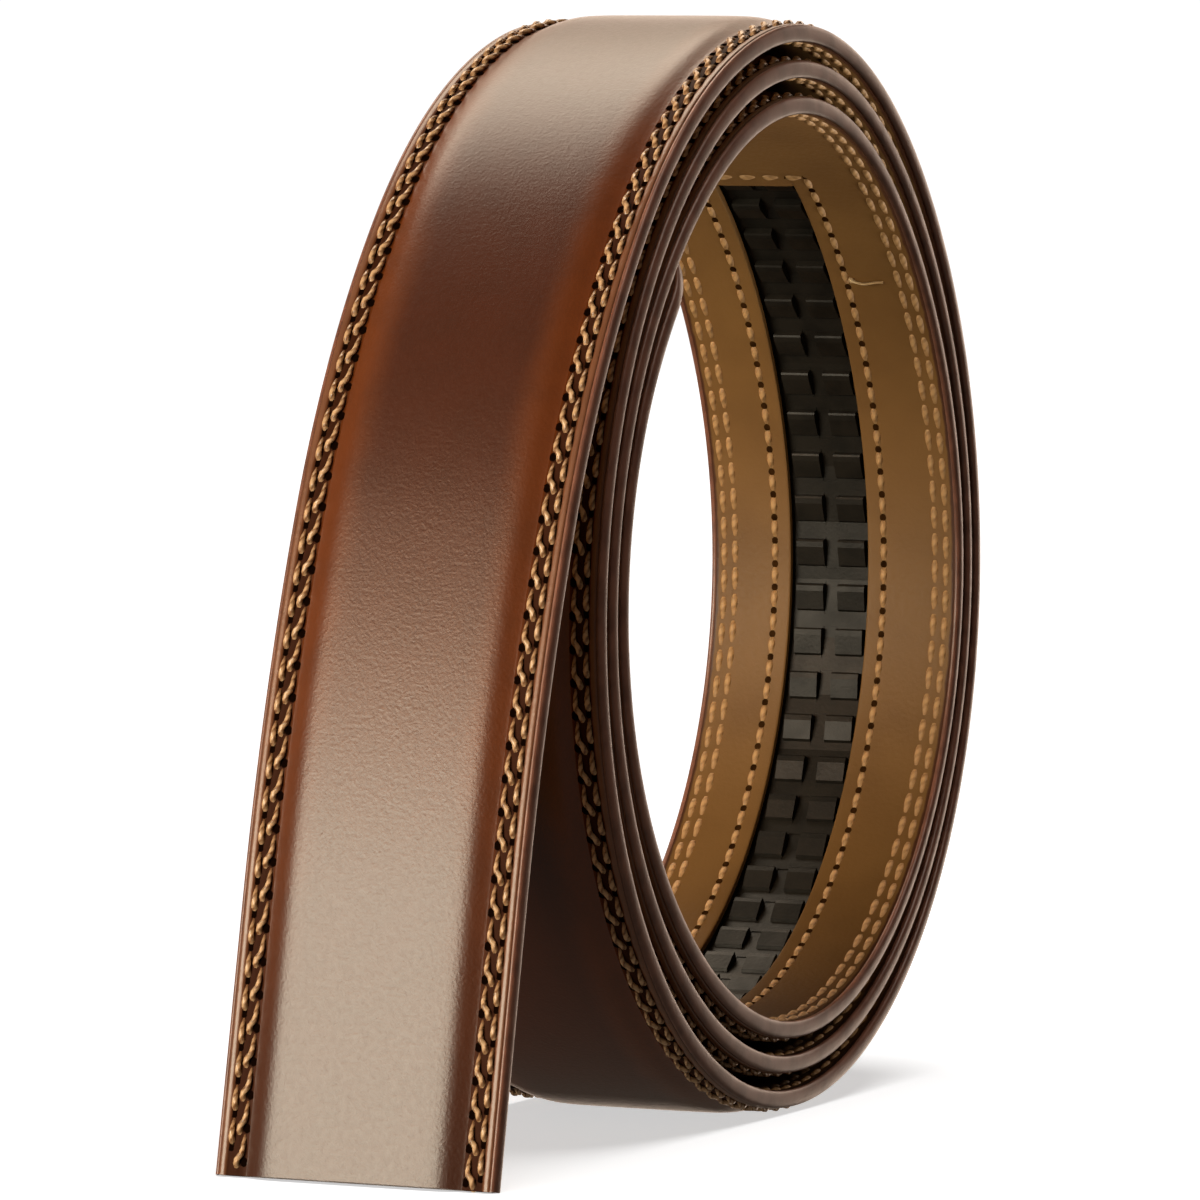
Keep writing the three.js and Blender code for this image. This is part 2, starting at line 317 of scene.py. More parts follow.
class Tree:
    """Node tree that is built through one method."""

    def __init__(self, tree: bpy.types.NodeTree) -> None:
        """Keeps the tree."""
        self.tree = tree

    def add(self, kind: str, settings: dict[str, Any], values: dict[Any, Any]) -> Any:
        """Adds one node.

        Args:
            kind: Type name of the node.
            settings: Properties to set before its sockets.
            values: Numbers, colours or links of its inputs, by name or index.

        Returns:
            The node.
        """
        node = self.tree.nodes.new(kind)
        for key, value in settings.items():
            setattr(node, key, value)
        for key, value in values.items():
            self.feed(node.inputs[key], value)
        return node

    def feed(self, target: Any, value: Any) -> None:
        """Links a socket, or sets it.

        Args:
            target: The input socket.
            value: A link, or a plain number or colour.
        """
        source = value.socket if isinstance(value, Value) else value
        if isinstance(source, bpy.types.NodeSocket):
            self.tree.links.new(source, target)
        else:
            target.default_value = source


class Nodes(Tree):
    """Node tree of one material, with a Principled shader as its surface. Scales are per metre."""

    def __init__(self, name: str, **constants: Any) -> None:
        """Starts a material.

        Args:
            name: Name of the material.
            constants: Values of the shader's sockets that are the same all over, with underscores for
                spaces.
        """
        self.material = bpy.data.materials.new(name)
        self.material.use_nodes = True
        super().__init__(self.material.node_tree)
        self.surface(Metallic=0.0, **constants)

    def surface(self, **inputs: Any) -> bpy.types.Material:
        """Feeds the shader.

        Args:
            inputs: Values or links of its sockets, with underscores for spaces.

        Returns:
            The material.
        """
        shader = self.tree.nodes["Principled BSDF"]
        for key, value in inputs.items():
            self.feed(shader.inputs[key.replace("_", " ")], value)
        return self.material

    def math(self, operation: str, *values: "Value | float") -> Value:
        """Adds a Math node for numbers."""
        node = self.add("ShaderNodeMath", {"operation": operation}, dict(enumerate(values)))
        return Value(self, node.outputs[0])

    def ramp(self, value: Value, span: Span) -> Value:
        """Rises smoothly from 0 to 1 as a value passes over a span."""
        values = {"Value": value, "From Min": span[0], "From Max": span[1]}
        return Value(self, self.add("ShaderNodeMapRange", SMOOTH_RISE, values).outputs["Result"])

    def mix(self, share: "Value | float", first: Any, second: Any) -> Any:
        """Blends two colours and gives the colour socket."""
        values = dict(zip(BLEND_INPUTS, (share, first, second)))
        return self.add("ShaderNodeMix", {"data_type": "RGBA"}, values).outputs[BLEND_OUTPUT]

    def layer(self, name: str) -> Any:
        """Texture coordinates of a layer, as a vector socket."""
        return self.add("ShaderNodeUVMap", {"uv_map": name}, {}).outputs[0]

    def pair(self, name: str) -> tuple[Value, Value]:
        """Both texture coordinates of a layer, as numbers."""
        parts = self.add("ShaderNodeSeparateXYZ", {}, {0: self.layer(name)})
        return Value(self, parts.outputs[0]), Value(self, parts.outputs[1])

    def strap_place(self) -> tuple[Value, Value]:
        """Distance along the strap and distance from its outline, both in millimetres."""
        along, inset = self.pair("strap")
        return along * (1 / MM), inset * (1 / MM)

    def noise(self, vector: Any, scale: Triple, detail: float, distortion: float = 0.0) -> Value:
        """Cloudy pattern from about 0.3 to 0.7.

        Args:
            vector: Place to read the pattern at.
            scale: Stretch along each axis.
            detail: How many finer patterns are added.
            distortion: How far the pattern is bent.

        Returns:
            The pattern.
        """
        stretched = self.add("ShaderNodeVectorMath", {"operation": "MULTIPLY"}, {0: vector, 1: scale})
        values = {"Vector": stretched.outputs[0], "Scale": 1.0, "Detail": detail}
        node = self.add("ShaderNodeTexNoise", {}, {**values, "Distortion": distortion})
        return Value(self, node.outputs[0])

    def clouds(self, scale: float, detail: float = GRAIN_DETAIL, depth_scale: float = 0.0) -> Value:
        """Pattern fixed to the object, which may have its own scale from front to back."""
        spot = self.add("ShaderNodeTexCoord", {}, {}).outputs["Object"]
        return self.noise(spot, (scale, depth_scale or scale, scale), detail)

    def grain(self, along: float, across: float, distortion: float = 0.0) -> Value:
        """Fine pattern that follows the strap's length."""
        return self.noise(self.layer("plan"), (along, across, 0.0), GRAIN_DETAIL, distortion)

    def bump(self, height: Value, distance: float) -> Any:
        """Normal that follows a height pattern."""
        return self.add("ShaderNodeBump", {}, {"Height": height, "Distance": distance}).outputs[0]


@dataclass(frozen=True)
class OuterLeather:
    """Burnished smooth leather: dark raised middle, warmer shoulders, painted shade about the rows of
    stitching.

    Starts and ends are spans in millimetres from the outline; the span of the painted shade at the foot is
    from the cut end.
    """

    name: str = "outer_leather"
    gloss: float = 0.5
    refraction: float = 1.62
    middle: Colour = srgb(75, 34, 15)
    band: Colour = srgb(108, 54, 20)
    # Painted shade: the shoulders darken to this colour towards the cut end.
    painted_foot_shade: Colour = srgb(66, 33, 17)
    # The border's own lighter tone, brightened further as a painted highlight.
    border_and_painted_highlight: Colour = srgb(126, 82, 56)
    # Dark colour: painted shade in the sewn strip, and also the random mottle.
    painted_stitch_shade_and_mottle: Colour = srgb(58, 28, 11)
    paint: Colour = srgb(52, 28, 18)
    foot_end: Span = (-10.0, 62.0)
    paint_end: Span = (0.62, 0.74)
    border_end: Span = (1.3, 1.7)
    sewn_start: Span = (1.3, 1.6)
    sewn_end: Span = (3.5, 4.2)
    shoulder_end: Span = (5.0, 10.0)
    shoulder_waver: float = 2.5
    shoulder_scale: float = 60.0
    mottle_scale: float = 230.0
    mottle_detail: float = 4.0
    mottle_span: Span = (0.35, 0.75)
    mottle_share: float = 0.22
    pore_scale: float = 2600.0
    wrinkle_scale: Span = (1300.0, 1500.0)
    wrinkle_bend: float = 0.4
    roughness: float = 0.345
    roughness_swing: float = 0.1
    sewn_roughness: float = 0.0
    grain_depth: float = 0.00005

    def material(self) -> bpy.types.Material:
        """Builds the material.

        Returns:
            Leather whose colour follows the distance from the strap's outline.
        """
        nodes = Nodes(self.name, IOR=self.refraction, Specular_IOR_Level=self.gloss)
        along, inset = nodes.strap_place()
        shoulder = inset + nodes.clouds(self.shoulder_scale).swing(self.shoulder_waver)
        sewn = nodes.ramp(inset, self.sewn_start) * (1.0 - nodes.ramp(inset, self.sewn_end))
        mottle = nodes.ramp(nodes.clouds(self.mottle_scale, self.mottle_detail), self.mottle_span)
        # Painted shade: the shoulder band darkens towards the cut end, where the tail meets the floor.
        edging = nodes.mix(nodes.ramp(along, self.foot_end), self.painted_foot_shade, self.band)
        colour = nodes.mix(1.0 - nodes.ramp(shoulder, self.shoulder_end), self.middle, edging)
        # Painted shade: the sewn strip about the rows of stitching is darkened, as where shade falls
        # between threads and holes.
        colour = nodes.mix(sewn, colour, self.painted_stitch_shade_and_mottle)
        # The border strip takes its own lighter tone, partly a painted highlight.
        colour = nodes.mix(1.0 - nodes.ramp(inset, self.border_end), colour, self.border_and_painted_highlight)
        colour = nodes.mix(1.0 - nodes.ramp(inset, self.paint_end), colour, self.paint)
        colour = nodes.mix(mottle * self.mottle_share, colour, self.painted_stitch_shade_and_mottle)
        pores = nodes.grain(self.pore_scale, self.pore_scale)
        wrinkle = nodes.grain(*self.wrinkle_scale, self.wrinkle_bend)
        rough = self.roughness + wrinkle.swing(self.roughness_swing) + sewn * self.sewn_roughness
        normal = nodes.bump((wrinkle + pores) * 0.5, self.grain_depth)
        return nodes.surface(Base_Color=colour, Roughness=rough, Normal=normal)


@dataclass(frozen=True)
class LiningLeather:
    """Plain tan lining leather with fine pores and a painted rim. The rim's end is millimetres."""

    base: Colour = srgb(120, 87, 46)
    shade: Colour = srgb(99, 69, 34)
    rim: Colour = srgb(74, 44, 28)
    gloss: float = 0.3
    shade_scale: float = 90.0
    shade_span: Span = (0.3, 0.75)
    shade_share: float = 0.5
    rim_end: Span = (0.9, 1.25)
    rim_waver: float = 0.5
    rim_scale: float = 420.0
    rim_detail: float = 2.0
    rim_polish: float = 0.15
    pore_scale: float = 1500.0
    roughness: float = 0.56
    roughness_swing: float = 0.2
    grain_depth: float = 0.00005

    def material(self) -> bpy.types.Material:
        """Builds the material.

        Returns:
            Leather with faint clouds and pores.
        """
        nodes = Nodes("lining_leather", Specular_IOR_Level=self.gloss)
        shade = nodes.ramp(nodes.clouds(self.shade_scale), self.shade_span) * self.shade_share
        waver = nodes.clouds(self.rim_scale, self.rim_detail).swing(self.rim_waver)
        rim = 1.0 - nodes.ramp(nodes.strap_place()[1] + waver, self.rim_end)
        pores = nodes.grain(self.pore_scale, self.pore_scale)
        return nodes.surface(
            Base_Color=nodes.mix(rim, nodes.mix(shade, self.base, self.shade), self.rim),
            Roughness=self.roughness + pores.swing(self.roughness_swing) - rim * self.rim_polish,
            Normal=nodes.bump(pores, self.grain_depth),
        )


@dataclass(frozen=True)
class Thread:
    """Waxed thread of slanted plies, with painted shade in its grooves and thin end. Lengths are metres,
    and the ply is one slanted turn.
    """

    name: str
    base: Colour
    # Painted shade colour, laid into the grooves between plies and the sunk thin end.
    shade: Colour
    roughness: float = 0.36
    roughness_swing: float = 0.3
    ply: float = 0.0011
    ply_count: int = 2
    ply_height: float = 0.38
    ply_middle: float = 0.55
    fibre_scale: Span = (2600.0, 1600.0)
    fibre_detail: float = 2.0
    fibre_height: float = 0.5
    groove_share: float = 0.6
    groove_span: Span = (0.25, 0.75)
    sunk_span: Span = (0.0013, 0.0034)
    sunk_share: float = 0.75
    relief: float = 0.00007

    def material(self) -> bpy.types.Material:
        """Builds the material.

        Returns:
            Thread whose plies follow its own length and girth.
        """
        nodes = Nodes(self.name)
        length, girth = nodes.pair("thread")
        twist = length * (2 * math.pi / self.ply) + girth * (2 * math.pi * self.ply_count)
        plies = nodes.math("SINE", twist) * self.ply_height + self.ply_middle
        fibres = nodes.clouds(self.fibre_scale[0], self.fibre_detail, self.fibre_scale[1])
        # Painted shade: the grooves between the plies take the shade colour, broken up by the fibres.
        grooves = nodes.ramp(plies * self.groove_share + fibres * self.groove_share, self.groove_span)
        # Painted shade: the thread darkens towards its thin end, where it sinks into the leather.
        sunk = nodes.ramp(length, self.sunk_span) * self.sunk_share
        colour = nodes.mix(1.0 - grooves, self.base, self.shade)
        return nodes.surface(
            Base_Color=nodes.mix(sunk, colour, self.shade),
            Roughness=self.roughness + fibres.swing(self.roughness_swing),
            Normal=nodes.bump(plies + fibres * self.fibre_height, self.relief),
        )


@dataclass(frozen=True)
class Smooth:
    """Smooth finish with faint clouds of a second colour and a fine texture: paint or plastic."""

    name: str
    base: Colour
    shade: Colour
    roughness: float
    roughness_swing: float
    cloud_scale: float
    texture_scale: float
    texture_detail: float
    relief: float
    refraction: float = 1.5
    gloss: float = 0.5
    cloud_span: Span = (0.35, 0.7)

    def material(self) -> bpy.types.Material:
        """Builds the material.

        Returns:
            Satin paint or moulded plastic.
        """
        nodes = Nodes(self.name, IOR=self.refraction, Specular_IOR_Level=self.gloss)
        clouds = nodes.clouds(self.cloud_scale)
        texture = nodes.clouds(self.texture_scale, self.texture_detail)
        return nodes.surface(
            Base_Color=nodes.mix(nodes.ramp(clouds, self.cloud_span), self.base, self.shade),
            Roughness=self.roughness + clouds.swing(self.roughness_swing),
            Normal=nodes.bump(texture, self.relief),
        )


@dataclass(frozen=True)
class PaintedHoleShade:
    """Painted shade of a needle hole, laid as a dark dish over the leather."""

    name: str
    base: Colour
    deep: Colour = srgb(10, 5, 3)
    roughness: float = 0.9
    scale: float = 900.0

    def material(self) -> bpy.types.Material:
        """Builds the material.

        Returns:
            Dull dark colour, the painted shade of the hole.
        """
        nodes = Nodes(self.name, Roughness=self.roughness, Specular_IOR_Level=0.0)
        clouds = nodes.clouds(self.scale, detail=1.0)
        return nodes.surface(Base_Color=nodes.mix(clouds, self.base, self.deep))


@dataclass(frozen=True)
class Surface:
    """Pale flat floor with a faint glow."""

    base: Colour = srgb(250, 250, 250)
    roughness: float = 0.7
    glow: float = 0.6

    def material(self) -> bpy.types.Material:
        """Builds the material."""
        nodes = Nodes("pale_floor", Roughness=self.roughness, Emission_Strength=self.glow)
        return nodes.surface(Base_Color=self.base, Emission_Color=self.base)


SEWN_LEATHER = OuterLeather("sewn_leather", gloss=0.06, sewn_roughness=0.3)
EDGE_PAINT = Smooth(
    "edge_paint", srgb(130, 88, 72), srgb(106, 69, 55), roughness=0.36, roughness_swing=0.15,
    cloud_scale=300.0, texture_scale=300.0, texture_detail=3.0, relief=0.00004, refraction=1.58,
)
TRACK_PLASTIC = Smooth(
    "track_plastic", srgb(35, 32, 27), srgb(24, 22, 18), roughness=0.46, roughness_swing=0.2,
    cloud_scale=260.0, texture_scale=2200.0, texture_detail=2.0, relief=0.00003, gloss=0.21,
)
# The second colour of each thread is its painted shade.
OUTER_THREAD = Thread("outer_thread", srgb(216, 178, 136), srgb(120, 78, 46), roughness=0.24)
LINING_THREAD = Thread("lining_thread", srgb(180, 142, 94), srgb(146, 110, 68), roughness=0.6)
LOOSE_THREAD = Thread("thread_end", srgb(214, 186, 142), srgb(176, 142, 96), roughness=0.5)
# Dark dishes of painted shade stand for the needle holes.
OUTER_HOLE_SHADE = PaintedHoleShade("outer_needle_hole", srgb(22, 9, 4))
LINING_HOLE_SHADE = PaintedHoleShade("lining_needle_hole", srgb(70, 45, 21))


def add_object(name: str, data: Any) -> bpy.types.Object:
    """Puts a new object into the scene.

    Args:
        name: Name of the object.
        data: Its mesh, light or camera.

    Returns:
        The object.
    """
    made = bpy.data.objects.new(name, data)
    bpy.context.scene.collection.objects.link(made)
    return made


def make_piece(
    name: str,
    vertices: Array,
    faces: Sequence[Sequence[int]],
    material: bpy.types.Material,
    slot: str,
    uvs: dict[str, Array] | None = None,
    crease_degrees: float = 40.0,
) -> bpy.types.Object:
    """Makes a smooth mesh piece that rides on the strap's one body.

    Args:
        name: Name of the piece.
        vertices: Points in metres.
        faces: Vertex indices of each face.
        material: Finish of the piece.
        slot: Material slot of the record, not used.
        uvs: Named layers with one pair of coordinates for each vertex.
        crease_degrees: Angle above which an edge stays sharp.

    Returns:
        The piece.
    """
    mesh = bpy.data.meshes.new(name)
    mesh.from_pydata(vertices.tolist(), [], faces)
    corners = np.zeros(len(mesh.loops), np.int32)
    mesh.loops.foreach_get("vertex_index", corners)
    for layer_name, values in (uvs or {}).items():
        layer = mesh.uv_layers.new(name=layer_name)
        layer.uv.foreach_set("vector", values[corners].astype(np.float32).ravel())
    mesh.shade_smooth()
    mesh.set_sharp_from_angle(angle=math.radians(crease_degrees))
    mesh.materials.append(material)
    piece = add_object(name, mesh)
    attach(piece, "root")
    LOG.info("%s: %d faces", name, len(mesh.polygons))
    return piece


@dataclass
class Skin:
    """A layer of the strap, drawn as rails at set insets that run round its outline. Millimetres.

    Each rail runs from the cut end along the near side, round the tip and back along the far side. The
    last rail is the middle line, where both sides meet.
    """

    path: StrapPath
    near: Array
    far: Array
    stations: Array
    tip_steps: int = 32
    along: Array = field(init=False)
    across: Array = field(init=False)
    inset: Array = field(init=False)
    index: Array = field(init=False)

    def __post_init__(self) -> None:
        """Lays out the plan of the rails and numbers their points."""
        half = self.path.width / 2
        count = len(self.stations)
        tip = np.arange(1, self.tip_steps) * math.pi / self.tip_steps
        turn = np.concatenate([np.zeros(count), tip, np.full(count, math.pi)])
        blend = (1 - np.cos(turn)) / 2
        self.inset = self.near[:, None] * (1 - blend) + self.far[:, None] * blend
        scale = 1 - self.inset / half
        reach = np.concatenate([self.stations, np.full(len(tip), self.stations[-1]), self.stations[::-1]])
        self.along = reach + self.path.tip_length * scale * np.sin(turn)
        self.across = -half * scale * np.cos(turn)
        self.index = np.arange(self.along.size).reshape(self.along.shape)
        last = self.index[-1]
        last[count:] = last[count - 1]
        last[-count:] = last[:count][::-1]

    def faces(self, keep: Callable[[Array, Array], Array] | None = None) -> Faces:
        """Lists the faces between the rails.

        Args:
            keep: Says for the middles of faces, by along and across, which of them are built.

        Returns:
            Vertex indices, with outward faces.
        """
        corners = [np.s_[:-1, :-1], np.s_[1:, :-1], np.s_[1:, 1:], np.s_[:-1, 1:]]
        quads = np.stack([self.index[corner] for corner in corners], axis=-1)
        kept = np.ones(quads.shape[:2], bool)
        if keep is not None:
            plan = (self.along, self.across)
            kept = keep(*(sum(values[corner] for corner in corners) / 4 for values in plan))
        faces = []
        for quad in quads[kept].tolist():
            unique = tuple(dict.fromkeys(quad))
            if len(unique) > 2:
                faces.append(unique)
        return faces

    def solid(
        self, outer: Array, inner: Array, keep: Callable[[Array, Array], Array] | None = None
    ) -> tuple[Array, Faces, dict[str, Array]]:
        """Closes the layer between an outer and an inner height.

        Args:
            outer: Height of each rail point on the outer face.
            inner: Height of each rail point on the inner face.
            keep: Which faces are built.

        Returns:
            Points in metres, faces and texture coordinates.
        """
        top, base = (
            self.path.place(self.along, self.across, height).reshape(-1, 3) for height in (outer, inner)
        )
        above = self.faces(keep)
        total = len(top)
        below = [tuple(total + corner for corner in reversed(face)) for face in above]
        edges = dict.fromkeys(edge for face in above for edge in zip(face, face[1:] + face[:1]))
        rims = [(start, end) for start, end in edges if (end, start) not in edges]
        walls = [(end, start, total + start, total + end) for start, end in rims]
        vertices = np.concatenate([top, base])
        faces = above + below + walls
        used = np.zeros(len(vertices), bool)
        used[[corner for face in faces for corner in face]] = True
        renumber = np.cumsum(used) - 1
        faces = [tuple(int(renumber[corner]) for corner in face) for face in faces]
        uvs = {}
        for name, second in {"strap": self.inset, "plan": self.across}.items():
            place = np.stack([self.along.ravel(), second.ravel()], axis=-1) * MM
            uvs[name] = np.concatenate([place, place])[used]
        return vertices[used], faces, uvs


def unit(vectors: Array) -> Array:
    """Scales vectors to length 1."""
    return vectors / np.linalg.norm(vectors, axis=-1, keepdims=True)


def as_faces(corners: Array) -> Faces:
    """Lists faces whose corners are the rows of an array."""
    return [tuple(face) for face in corners.tolist()]


def tube(
    points: Array, normals: Array, thick: Array, reach: Array, sides: int, turn: float = 0.0
) -> tuple[Array, Faces, Array]:
    """Sweeps closed round tubes along lines.

    Args:
        points: Points of each line, in metres.
        normals: Direction away from the strap at each point.
        thick: Radius at each point of a line, in metres.
        reach: Distance along the thread at each point of a line, in metres.
        sides: Count of flat sides.
        turn: Angle of the first corner.

    Returns:
        Points, faces and texture coordinates.
    """
    forward = unit(np.gradient(points, axis=1))
    side = unit(np.cross(forward, normals))
    upward = np.cross(side, forward)
    angles = np.arange(sides) * 2 * math.pi / sides + turn
    ring = side[:, :, None] * np.cos(angles)[:, None] + upward[:, :, None] * np.sin(angles)[:, None]
    shell = points[:, :, None] + ring * thick[:, None, None]
    numbers = np.arange(shell[..., 0].size).reshape(shell.shape[:3])
    after = np.roll(numbers, -1, axis=2)
    quads = np.stack([numbers[:, :-1], after[:, :-1], after[:, 1:], numbers[:, 1:]], axis=-1)
    caps = np.concatenate([numbers[:, 0, ::-1], numbers[:, -1]])
    uvs = np.stack(
        [
            np.broadcast_to(reach[:, None], numbers.shape),
            np.broadcast_to(np.arange(sides) / sides, numbers.shape),
        ],
        axis=-1,
    )
    return shell.reshape(-1, 3), as_faces(quads.reshape(-1, 4)) + as_faces(caps), uvs.reshape(-1, 2)


@dataclass(frozen=True)
class StitchRow:
    """A row of stitches along a line on one face of the strap. Millimetres, or shares of the pitch.

    Each stitch comes up thick beside its needle hole and dives thin before the next one, away from the
    cut end. Its thick end may hook past the hole, towards the outline.
    """

    pitch: float = 3.85
    radius: float = 0.40
    thin_share: float = 0.42
    taper: float = 1.4
    rise: float = 0.34
    depth: float = 0.42
    crest: float = 0.72
    fullness: float = 0.75
    start: float = 0.06
    end: float = 0.84
    first: float = 1.5
    last: float = 3.3
    hook: float = 0.0
    hook_reach: float = 0.30
    hole_length: float = 0.56
    hole_width: float = 0.47
    hole_shift: float = 0.0
    rim_lift: float = 0.05
    hub_lift: float = 0.03
    rings: int = 9
    sides: int = 7
    rim: int = 12

    def threads(
        self, path: StrapPath, line: Array, face: float, layer: Layer
    ) -> tuple[Array, Faces, Array, Array]:
        """Sews a line.

        Args:
            path: Path of the strap.
            line: Points of the line, by along and across.
            face: Height of the face along the line.
            layer: Face of the strap that it lies on.

        Returns:
            Points in metres, faces and texture coordinates of the threads, and strap coordinates of the
            holes.
        """
        reach = np.append(0.0, np.cumsum(np.linalg.norm(np.diff(line, axis=0), axis=1)))
        columns = [*line.T, *unit(np.gradient(line, axis=0)).T]

        def read(spots: Array, aside: Array | float) -> tuple[Array, Array, Array]:
            """Places spots of the line, moved towards the outline, and gives the line's heading."""
            along, across, ahead, side = (np.interp(spots, reach, column) for column in columns)
            return along + aside * side, across - aside * ahead, ahead

        span = reach[-1] - self.first - self.last
        holes = np.linspace(self.first, reach[-1] - self.last, round(span / self.pitch) + 1)
        hole_along, hole_across, heading = read(holes, self.hole_shift)
        sign = np.where(heading >= 0, 1.0, -1.0)[:, None]
        share = np.linspace(0.0, 1.0, self.rings)
        ahead = self.start + (self.end - self.start) * share
        spots = np.clip(holes[:, None] + sign * ahead * self.pitch, 0.0, reach[-1])
        fade = np.clip(1 - ahead / self.hook_reach, 0.0, 1.0)
        along, across, _ = read(spots, self.hook * fade * fade * (3 - 2 * fade))
        bow = np.sin(math.pi * share**self.crest) ** self.fullness
        lift = layer.value * (-self.depth + (self.depth + self.rise) * bow)
        points = path.place(along, across, np.broadcast_to(face + lift, along.shape))
        thick = self.thin_share + (1 - self.thin_share) * (1 - share**self.taper)
        threads = tube(
            points, path.normal(along) * layer.value, self.radius * MM * thick, ahead * self.pitch * MM,
            self.sides, -math.pi / 2,
        )
        return *threads, np.stack([hole_along, hole_across, np.full_like(holes, face)], axis=-1)

    def hole_shade_dishes(self, path: StrapPath, holes: Array, layer: Layer) -> tuple[Array, Faces]:
        """Paints the shade of the needle holes on shallow dark dishes.

        Args:
            path: Path of the strap.
            holes: Strap coordinates of the holes.
            layer: Face of the strap that they lie on.

        Returns:
            Points in metres and faces.
        """
        angles = np.arange(self.rim) * 2 * math.pi / self.rim
        along = holes[:, :1] + self.hole_length * np.append(np.cos(angles), 0.0)
        across = holes[:, 1:2] + self.hole_width * np.append(np.sin(angles), 0.0)
        lift = np.append(np.full(self.rim, self.rim_lift), self.hub_lift)
        points = path.place(along, across, holes[:, 2:] + layer.value * lift)
        numbers = np.arange(along.size).reshape(along.shape)
        rim = numbers[:, :-1]
        after = np.roll(rim, -1, axis=1)
        hub = np.repeat(numbers[:, -1:], self.rim, axis=1)
        turn = (rim, after, hub) if layer is Layer.LINING else (after, rim, hub)
        return points.reshape(-1, 3), as_faces(np.stack(turn, axis=-1).reshape(-1, 3))


@dataclass(frozen=True)
class Sewing:
    """Stitching of one face: height of the face in millimetres, thread, painted shade of the holes and
    rows.
    """

    layer: Layer
    height: float
    thread: Thread
    hole: PaintedHoleShade
    rows: tuple[StitchRow, ...]


@dataclass(frozen=True)
class LooseEnd:
    """Loose end of the window's thread, laid across the lining from its knot. Millimetres.

    It starts on the innermost turn, where the lining stands at a bearing in degrees above the level of the
    coil's middle.
    """

    bearing: float = 42.0
    turn_radius: float = 62.0
    turn_points: int = 4000
    turn_height: float = -1.0
    face: float = -0.96
    start: float = -7.4
    end: float = -12.0
    radius: float = 0.17
    knot_radius: float = 0.42
    knot_place: float = 0.08
    knot_spread: float = 0.05
    drift: float = 0.9
    waver: float = 0.35
    waver_turn: float = 5.0
    bow: float = 0.25
    length: float = 4.6
    rings: int = 24
    sides: int = 8

    def thread(self, path: StrapPath) -> tuple[Array, Faces, Array]:
        """Lays the thread.

        Args:
            path: Path of the strap.

        Returns:
            Points in metres, faces and texture coordinates.
        """
        turn = 2 * math.pi * self.turn_radius
        along = np.linspace(path.length - turn, path.length, self.turn_points)
        spots = path.place(along, np.zeros_like(along), np.full_like(along, self.turn_height)) / MM
        bearing = np.arctan2(spots[:, 2] - path.centre[1], spots[:, 0] - path.centre[0])
        place = along[np.argmin(np.abs(np.degrees(bearing) - self.bearing))]
        share = np.linspace(0.0, 1.0, self.rings)
        across = self.start + (self.end - self.start) * share
        drift = place + self.drift * share + self.waver * np.sin(self.waver_turn * share)
        height = self.face - self.radius - self.bow * np.sin(math.pi * share)
        knot = np.exp(-(((share - self.knot_place) / self.knot_spread) ** 2))
        thick = (self.radius + (self.knot_radius - self.radius) * knot) * MM
        points = path.place(drift, across, height)[None]
        return tube(points, path.normal(drift), thick, share * self.length * MM, self.sides)


def join(parts: Sequence[tuple[Array, Faces]]) -> tuple[Array, Faces]:
    """Puts several sets of points and faces into one.

    Args:
        parts: Points and faces of each.

    Returns:
        All points and faces.
    """
    vertices, faces, start = [], [], 0
    for points, polygons in parts:
        vertices.append(points)
        faces.extend(tuple(start + corner for corner in face) for face in polygons)
        start += len(points)
    return np.concatenate(vertices), faces


TIGHT_ROW = StitchRow(start=0.10, end=0.92)
HOOKED_ROW = StitchRow(start=-0.2, end=0.92, first=0.9, last=1.6, hook=0.7, hole_shift=-0.2)
FLAT_ROW = StitchRow(
    pitch=3.6, radius=0.54, thin_share=0.85, rise=-0.12, start=0.12, end=0.88, hole_length=0.0, rings=8
)
BOLD_ROW = StitchRow(
    pitch=3.15, radius=0.50, thin_share=0.95, rise=-0.04, start=0.2, end=0.80, first=0.0, last=3.1,
    hole_length=0.50, hole_width=0.46,
)


